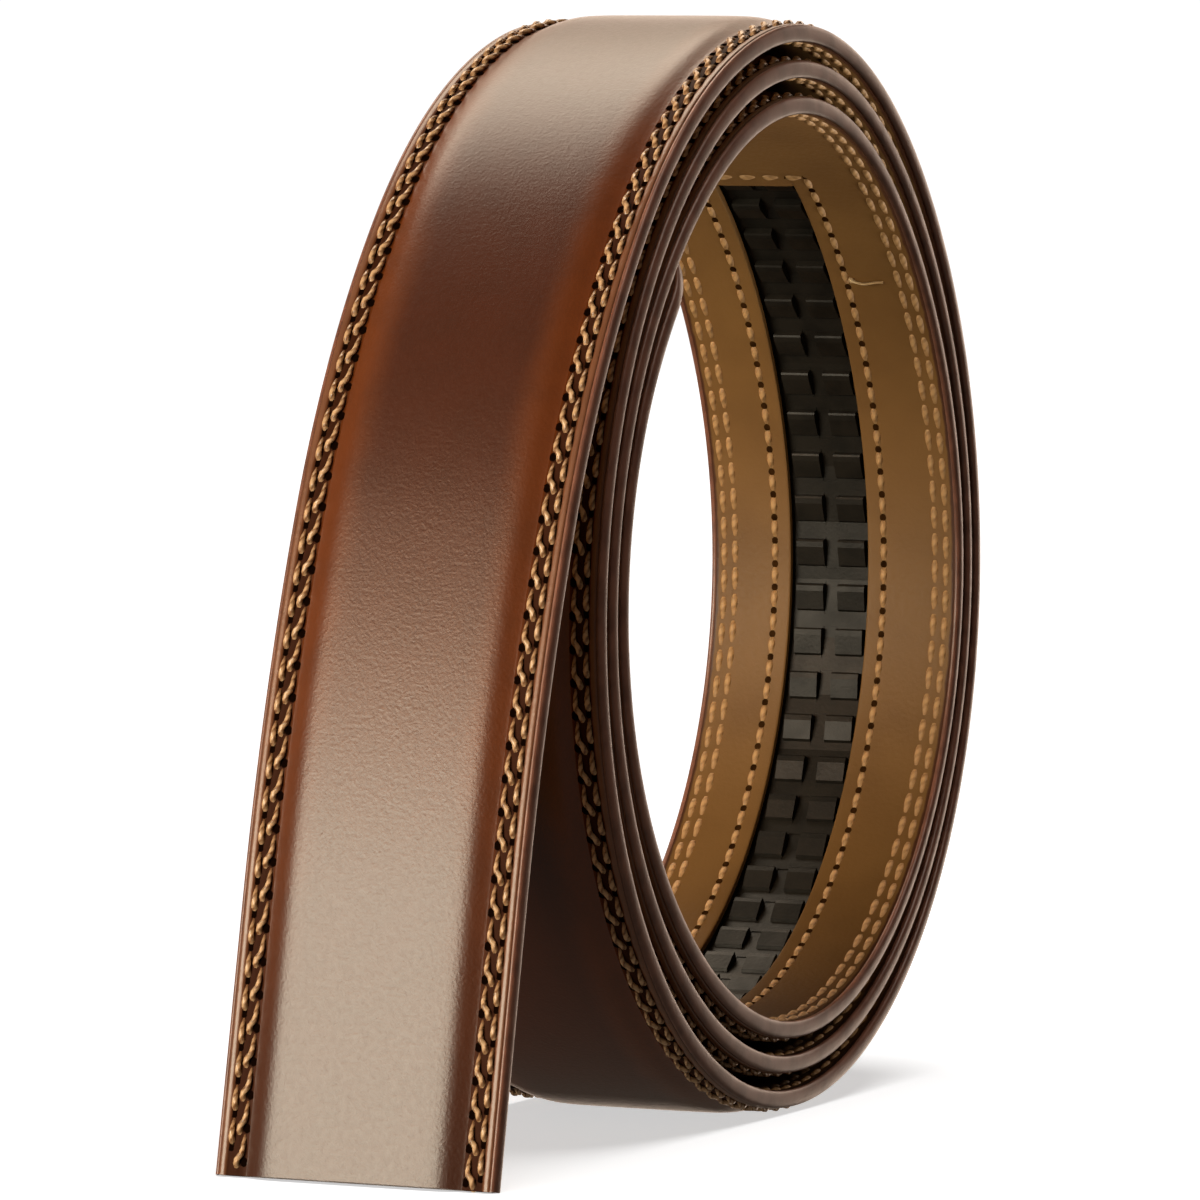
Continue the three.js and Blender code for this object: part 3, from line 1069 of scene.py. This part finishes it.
@dataclass
class Strap:
    """Outer leather, lining, painted edge, stitching and track of the strap. Millimetres.

    Profiles go from the outline inward, or outward and down the edge for the bead, as inset and height.
    The lip's goes from the stitching to the window's edge, as offset from that edge and height.
    """

    path: StrapPath
    lining_outer: float = -0.15
    lining_face: float = -0.96
    station_step: float = 2.0
    middle_rails: int = 4
    window_to_tip: float = 83.0
    tooth_count: int = 36
    tooth_pitch: float = 5.87
    window_end_gap: float = 0.3
    window_width: float = 10.9
    window_offset: float = 0.75
    track_width: float = 13.3
    track_underlap: float = 3.0
    track_clearance: float = 0.15
    groove_floor: float = 1.2
    groove_margin: float = 9.0
    row_insets: Span = (1.9, 3.45)
    sewn_strip: Span = (1.4, 4.0)
    window_row_gap: float = 2.2
    window_row_points: tuple[int, int] = (400, 20)
    thread_crease: float = 60.0
    moulded_edge: float = 0.08
    moulded_angle: float = 30.0
    sewing: tuple[Sewing, ...] = (
        Sewing(Layer.OUTER, 1.1, OUTER_THREAD, OUTER_HOLE_SHADE, (TIGHT_ROW, HOOKED_ROW)),
        Sewing(Layer.LINING, -0.9, LINING_THREAD, LINING_HOLE_SHADE, (FLAT_ROW, FLAT_ROW, BOLD_ROW)),
    )
    outer_profile: Profile = (
        (0.60, 0.84), (0.63, 1.04), (0.69, 1.18), (0.80, 1.26), (0.98, 1.29), (1.20, 1.29),
        (1.38, 1.26), (1.52, 1.19), (1.68, 1.12), (1.90, 1.09), (2.15, 1.13), (2.40, 1.18),
        (2.65, 1.20), (2.90, 1.18), (3.15, 1.12), (3.45, 1.08), (3.75, 1.10), (4.05, 1.15),
        (4.35, 1.25), (4.70, 1.39), (5.10, 1.56), (5.50, 1.73), (5.95, 1.89), (6.45, 2.02),
        (7.00, 2.11), (7.70, 2.17), (8.60, 2.205), (10.0, 2.23), (12.0, 2.235), (14.5, 2.24),
        (17.5, 2.24),
    )
    lining_profile: Profile = (
        (0.56, -0.84), (0.80, -0.92), (1.10, -0.96), (1.50, -0.94), (1.90, -0.90), (2.30, -0.94),
        (2.70, -0.96), (3.05, -0.94), (3.45, -0.90), (3.90, -0.94), (4.60, -0.96), (6.50, -0.96),
        (8.00, -0.96),
    )
    lip_profile: Profile = (
        (-3.0, -0.96), (-2.7, -0.95), (-2.2, -0.89), (-1.7, -0.95), (-1.2, -0.98), (-0.6, -1.0),
        (-0.25, -1.0), (-0.08, -0.97), (0.0, -0.90),
    )
    bead_profile: Profile = (
        (0.78, 0.98), (0.68, 1.13), (0.54, 1.20), (0.39, 1.18), (0.26, 1.08), (0.16, 0.92),
        (0.09, 0.72), (0.04, 0.48), (0.01, 0.20), (0.00, -0.10), (0.01, -0.38), (0.05, -0.60),
        (0.13, -0.78), (0.25, -0.90), (0.42, -0.95), (0.60, -0.93), (0.74, -0.86),
    )

    def window(self) -> Span:
        """Distances along the strap of both ends of the window."""
        end = self.path.length - self.window_to_tip
        return end - self.tooth_count * self.tooth_pitch - 2 * self.window_end_gap, end

    def groove(self) -> Span:
        """Distances along the strap of both ends of the groove for the track."""
        slack = self.track_clearance + self.track_underlap
        return self.window()[0] - slack, self.window()[1] + slack

    def stations(self) -> Array:
        """Spaces out the points of each rail, with points at the window's and groove's ends.

        Returns:
            Distances along the strap.
        """
        last = self.path.length - self.path.tip_length
        even = np.linspace(0.0, last, round(last / self.station_step) + 1)
        steps = [end + side for end in self.groove() for side in (-SLIVER, SLIVER)]
        return np.unique(np.concatenate([even, self.window(), steps]))

    def plain_rails(self, insets: Sequence[float]) -> Skin:
        """Lays rails at insets that are the same on both sides, and the middle line."""
        both = np.append(insets, self.path.width / 2)
        return Skin(self.path, both, both, self.stations())

    def split_rails(self, outside: Array, steps: Array, reach: float) -> Skin:
        """Lays rails round an opening along the strap.

        Args:
            outside: Insets of the rails near the outline.
            steps: Offsets of rails from the opening's side.
            reach: Half the width of the opening.

        Returns:
            The rails.
        """
        half = self.path.width / 2
        inward = np.linspace(0.0, 1.0, self.middle_rails + 1)[1:]
        sides = []
        for offset in (self.window_offset, -self.window_offset):
            wall = half - reach + offset
            sides.append(np.concatenate([outside, wall + steps, wall + (half - wall) * inward]))
        return Skin(self.path, *sides, self.stations())

    def build_outer(self) -> bpy.types.Object:
        """Builds the outer leather with its groove for the track.

        Returns:
            The piece that stands for the outer strap.
        """
        insets, heights = np.array(self.outer_profile).T
        reach = self.track_width / 2 + self.track_clearance
        skin = self.split_rails(insets[insets < self.groove_margin], np.array([-SLIVER, SLIVER]), reach)
        start, end = self.groove()
        across = np.abs(skin.across - self.window_offset) < reach
        in_groove = across & (skin.along > start) & (skin.along < end)
        inner = np.where(in_groove, self.groove_floor, 0.0)
        vertices, faces, uvs = skin.solid(np.interp(skin.inset, insets, heights), inner)
        burnished = OuterLeather().material()
        piece = make_piece("outer_leather", vertices, faces, burnished, "outer_leather", uvs)
        piece.data.materials.append(SEWN_LEATHER.material())
        low, high = self.sewn_strip
        for polygon in piece.data.polygons:
            middle = float(np.mean(uvs["strap"][list(polygon.vertices), 1])) / MM
            polygon.material_index = int(low < middle < high)
        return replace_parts(piece, "outer_strap")

    def build_lining(self) -> bpy.types.Object:
        """Builds the lining with its window.

        Returns:
            The piece that stands for the lining.
        """
        insets, heights = np.array(self.lining_profile).T
        lip, lip_heights = np.array(self.lip_profile).T
        skin = self.split_rails(insets, lip, self.window_width / 2)
        profile = np.concatenate([heights, lip_heights, np.full(self.middle_rails, self.lining_face)])
        inner = np.repeat(profile[:, None], skin.inset.shape[1], axis=1)
        start, end = self.window()
        gap = self.window_row_gap
        beyond = (skin.along < start - gap) | (skin.along > end + gap)
        beyond[: len(insets)] = False
        inner[beyond] = self.lining_face

        def keep(along: Array, across: Array) -> Array:
            """Leaves the window open."""
            inside = np.abs(across - self.window_offset) < self.window_width / 2
            return ~(inside & (along > start) & (along < end))

        vertices, faces, uvs = skin.solid(np.full_like(inner, self.lining_outer), inner, keep)
        tan = LiningLeather().material()
        piece = make_piece("lining_leather", vertices, faces, tan, "lining_leather", uvs)
        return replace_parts(piece, "lining")

    def build_edge(self) -> bpy.types.Object:
        """Builds the painted bead that seals both layers along the outline.

        Returns:
            The piece.
        """
        insets, heights = np.array(self.bead_profile).T
        skin = self.plain_rails(insets)
        along, across = skin.along[:-1], skin.across[:-1]
        height = np.repeat(heights[:, None], along.shape[1], axis=1)
        points = self.path.place(along, across, height).reshape(-1, 3)
        index = np.arange(along.size).reshape(along.shape)
        after = np.roll(index, -1, axis=0)
        quads = np.stack([index[:, :-1], index[:, 1:], after[:, 1:], after[:, :-1]], axis=-1)
        faces = as_faces(quads.reshape(-1, 4)) + as_faces(np.stack([index[:, 0], index[::-1, -1]]))
        return make_piece("edge_paint", points, faces, EDGE_PAINT.material(), "outer_leather")

    def outline(self, inset: float) -> Array:
        """Line at an inset from the strap's outline, from the cut end round the tip and back."""
        skin = self.plain_rails([inset])
        return np.stack([skin.along[0], skin.across[0]], axis=-1)

    def window_line(self) -> Array:
        """Line that goes round the window.

        Returns:
            Points by along and across.
        """
        gap = self.window_row_gap
        side = self.window_width / 2 + gap
        start, end = self.window()[0] - gap, self.window()[1] + gap
        along = np.linspace(start, end, self.window_row_points[0])
        across = self.window_offset + np.linspace(-side, side, self.window_row_points[1])
        sides = ((along, across[0]), (end, across), (along[::-1], across[-1]), (start, across[::-1]))
        return np.concatenate([np.stack(np.broadcast_arrays(*line), axis=-1) for line in sides])

    def sew(self) -> list[bpy.types.Object]:
        """Sews the double rows on both faces, the row round the window and its loose end.

        Returns:
            The thread pieces and the dishes of painted hole shade.
        """
        lines = [*(self.outline(inset) for inset in self.row_insets), self.window_line()]
        crease = self.thread_crease
        sewn = []
        for sewing in self.sewing:
            name = sewing.layer.name.lower()
            slot = f"{name}_leather"
            threads, hole_shade_dishes, twists = [], [], []
            for line, row in zip(lines, sewing.rows):
                *thread, twist, holes = row.threads(self.path, line, sewing.height, sewing.layer)
                threads.append(thread)
                twists.append(twist)
                if row.hole_length > 0:
                    hole_shade_dishes.append(row.hole_shade_dishes(self.path, holes, sewing.layer))
            uvs = {"thread": np.concatenate(twists)}
            thread, hole = sewing.thread.material(), sewing.hole.material()
            sewn.append(make_piece(f"{name}_stitches", *join(threads), thread, slot, uvs, crease))
            # The needle holes are dark dishes of painted shade.
            sewn.append(make_piece(f"{name}_needle_holes", *join(hole_shade_dishes), hole, slot, None, crease))
        points, faces, twist = LooseEnd().thread(self.path)
        loose, uvs = LOOSE_THREAD.material(), {"thread": twist}
        sewn.append(make_piece("thread_end", points, faces, loose, "lining_leather", uvs, crease))
        return sewn

    def dress_track(self) -> bpy.types.Object:
        """Gives the track of the solids its plastic and softens its moulded edges.

        Returns:
            The track.
        """
        track = frame["nodes"]["ratchet_track"]
        track.data.materials.clear()
        track.data.materials.append(TRACK_PLASTIC.material())
        bevel = track.modifiers.new("moulded_edges", "BEVEL")
        bevel.width = self.moulded_edge * MM
        bevel.segments = 1
        bevel.limit_method = "ANGLE"
        bevel.angle_limit = math.radians(self.moulded_angle)
        return track


def shine(lamp: bpy.types.Object, heading: Vector, lit: bpy.types.Collection) -> None:
    """Turns a light and lets it light one collection alone.

    Args:
        lamp: The light.
        heading: Direction in which it shines.
        lit: What it lights.
    """
    lamp.rotation_mode = "QUATERNION"
    lamp.rotation_quaternion = heading.to_track_quat("-Z", "Y")
    lamp.light_linking.receiver_collection = lit


@dataclass(frozen=True)
class Panel:
    """A soft panel light. Places and sizes are metres, and radiance is the brightness of its face.

    It lights the named pieces alone, or all of the strap where none is named.
    """

    name: str
    place: Triple
    size: Span
    radiance: float
    tint: Triple
    pieces: tuple[str, ...] = ()
    aim: Triple = (0.0, 0.0, 0.07)

    def hang(self, lit: bpy.types.Collection) -> bpy.types.Object:
        """Hangs the panel so that it faces the strap.

        Args:
            lit: What it lights where no piece is named.

        Returns:
            The light.
        """
        data = bpy.data.lights.new(self.name, "AREA")
        data.shape = "RECTANGLE"
        data.size, data.size_y = self.size
        data.energy = self.radiance * math.pi * self.size[0] * self.size[1]
        data.color = self.tint
        lamp = add_object(self.name, data)
        lamp.location = self.place
        lamp.visible_camera = False
        if self.pieces:
            lit = bpy.data.collections.new(f"lit_by_{self.name}")
            for name in self.pieces:
                lit.objects.link(bpy.data.objects[name])
        shine(lamp, Vector(self.aim) - lamp.location, lit)
        return lamp


LINING_PIECES = ("lining_leather", "lining_stitches", "thread_end")
EDGE_PIECES = ("edge_paint", "lining_stitches")


@dataclass
class Studio:
    """Floor, surroundings, lights and camera.

    Eye, lens and sensor are millimetres, other lengths metres, and angles and softness degrees.
    """

    path: StrapPath
    eye: Triple = (-900.84, -353.53, 37.70)
    bearing: float = 68.0
    dip: float = 2.5046
    roll: float = 0.9284
    lens: float = 232.01
    sensor: float = 36.0
    sight: Span = (0.01, 50.0)
    floor_size: float = 12.0
    floor_brightness: float = 0.7
    floor_softness: float = 40.0
    floor_light_heading: Triple = (0.0, 0.04, -1.0)
    horizon: Span = (-0.6, 0.15)
    room_brightness: float = 0.05
    bounce_brightness: float = 0.12
    room_tint: Colour = (1.0, 0.86, 0.70, 1.0)
    white: Colour = (1.0, 1.0, 1.0, 1.0)
    white_brightness: float = 1.05
    panels: tuple[Panel, ...] = (
        Panel("side_panel", (-1.06, 0.45, 0.24), (0.75, 0.49), 11.2, (1.0, 0.92, 0.73)),
        Panel("glow_panel", (-0.99, 0.42, 0.57), (0.75, 0.20), 7.0, (1.0, 0.50, 0.26)),
        Panel("back_panel", (0.838, 0.465, 0.792), (1.0, 0.38), 1.9, (1.0, 0.80, 0.60)),
        Panel("top_panel", (0.486, 0.437, 1.076), (0.9, 0.46), 5.2, (1.0, 0.86, 0.68),
              ("outer_leather", "outer_stitches", "ratchet_track", *EDGE_PIECES)),
        Panel("backdrop", (1.29, 0.15, 0.09), (1.08, 1.0), 2.7, (1.0, 0.78, 0.62)),
        Panel("low_panel", (0.68, -0.90, -0.62), (1.0, 0.6), 8.6, (1.0, 0.90, 0.76), LINING_PIECES),
        Panel("front_panel", (-0.95, -0.42, -0.35), (1.0, 0.6), 1.8, (1.0, 0.88, 0.72), LINING_PIECES),
        Panel("edge_panel", (0.10, -0.62, 1.02), (0.7, 0.5), 3.4, (1.0, 0.82, 0.68), EDGE_PIECES),
    )

    def camera(self) -> bpy.types.Object:
        """Sets up the camera.

        Returns:
            The camera, at the photograph's place and angle.
        """
        data = bpy.data.cameras.new("camera")
        data.sensor_width = self.sensor
        data.sensor_fit = "HORIZONTAL"
        data.lens = self.lens
        data.clip_start, data.clip_end = self.sight
        camera = add_object("camera", data)
        bearing, dip, roll = (math.radians(value) for value in (self.bearing, self.dip, self.roll))
        ahead = Vector(
            (math.cos(dip) * math.sin(bearing), math.cos(dip) * math.cos(bearing), -math.sin(dip))
        )
        level = Vector((math.cos(bearing), -math.sin(bearing), 0.0))
        upright = level.cross(ahead)
        right = level * math.cos(roll) + upright * math.sin(roll)
        above = upright * math.cos(roll) - level * math.sin(roll)
        turn = Matrix((right, above, -ahead)).transposed().to_4x4()
        centre = Vector((self.path.centre[0], 0.0, self.path.centre[1]))
        camera.matrix_world = Matrix.Translation((centre + Vector(self.eye)) * MM) @ turn
        bpy.context.scene.camera = camera
        return camera

    def floor(self) -> bpy.types.Object:
        """Lays the floor.

        Returns:
            The floor, which is not part of the object.
        """
        half = self.floor_size / 2
        mesh = bpy.data.meshes.new("floor")
        corners = [(-half, -half, 0.0), (half, -half, 0.0), (half, half, 0.0), (-half, half, 0.0)]
        mesh.from_pydata(corners, [], [(0, 1, 2, 3)])
        mesh.materials.append(Surface().material())
        floor = add_object("floor", mesh)
        floor.visible_diffuse = False
        floor.visible_glossy = False
        floor.visible_shadow = False
        return floor

    def floor_light(self, floor: bpy.types.Object) -> None:
        """Lights the floor alone, from nearly straight above, with soft shadows.

        Args:
            floor: The floor.
        """
        data = bpy.data.lights.new("floor_light", "SUN")
        data.energy = self.floor_brightness * math.pi
        data.angle = math.radians(self.floor_softness)
        lit = bpy.data.collections.new("lit_floor")
        lit.objects.link(floor)
        shine(add_object("floor_light", data), Vector(self.floor_light_heading), lit)

    def surroundings(self) -> None:
        """Makes the surroundings white to look at, dim above and pale below, as over a pale floor."""
        world = bpy.data.worlds.new("studio")
        world.use_nodes = True
        tree = Tree(world.node_tree)
        heading = tree.add("ShaderNodeTexCoord", {}, {})
        parts = tree.add("ShaderNodeSeparateXYZ", {}, {0: heading.outputs["Generated"]})
        rise = {"Value": parts.outputs[2], "From Min": self.horizon[0], "From Max": self.horizon[1]}
        levels = {"To Min": self.bounce_brightness, "To Max": self.room_brightness}
        strength = tree.add("ShaderNodeMapRange", SMOOTH_RISE, {**rise, **levels}).outputs["Result"]
        dim = world.node_tree.nodes["Background"]
        tree.feed(dim.inputs["Color"], self.room_tint)
        tree.feed(dim.inputs["Strength"], strength)
        values = {"Color": self.white, "Strength": self.white_brightness}
        white = tree.add("ShaderNodeBackground", {}, values)
        seen = tree.add("ShaderNodeLightPath", {}, {}).outputs["Is Camera Ray"]
        blend = tree.add("ShaderNodeMixShader", {}, {0: seen, 1: dim.outputs[0], 2: white.outputs[0]})
        tree.feed(world.node_tree.nodes["World Output"].inputs[0], blend.outputs[0])
        bpy.context.scene.world = world

    def lights(self, floor: bpy.types.Object) -> None:
        """Hangs the panels round the strap.

        Args:
            floor: The floor, which they leave alone.
        """
        lit = bpy.data.collections.new("lit_strap")
        for piece in bpy.context.scene.objects:
            if piece.type == "MESH" and piece != floor:
                lit.objects.link(piece)
        for panel in self.panels:
            panel.hang(lit)


def main() -> None:
    """Builds the strap and its studio and reports each piece."""
    logging.basicConfig(level=logging.INFO, format="%(message)s")
    path = StrapPath()
    strap = Strap(path)
    strap.build_outer()
    strap.build_lining()
    strap.build_edge()
    strap.sew()
    strap.dress_track()
    studio = Studio(path)
    studio.camera()
    floor = studio.floor()
    studio.floor_light(floor)
    studio.surroundings()
    studio.lights(floor)
    bpy.context.scene.view_settings.view_transform = "Standard"


if __name__ == "__main__":
    main()
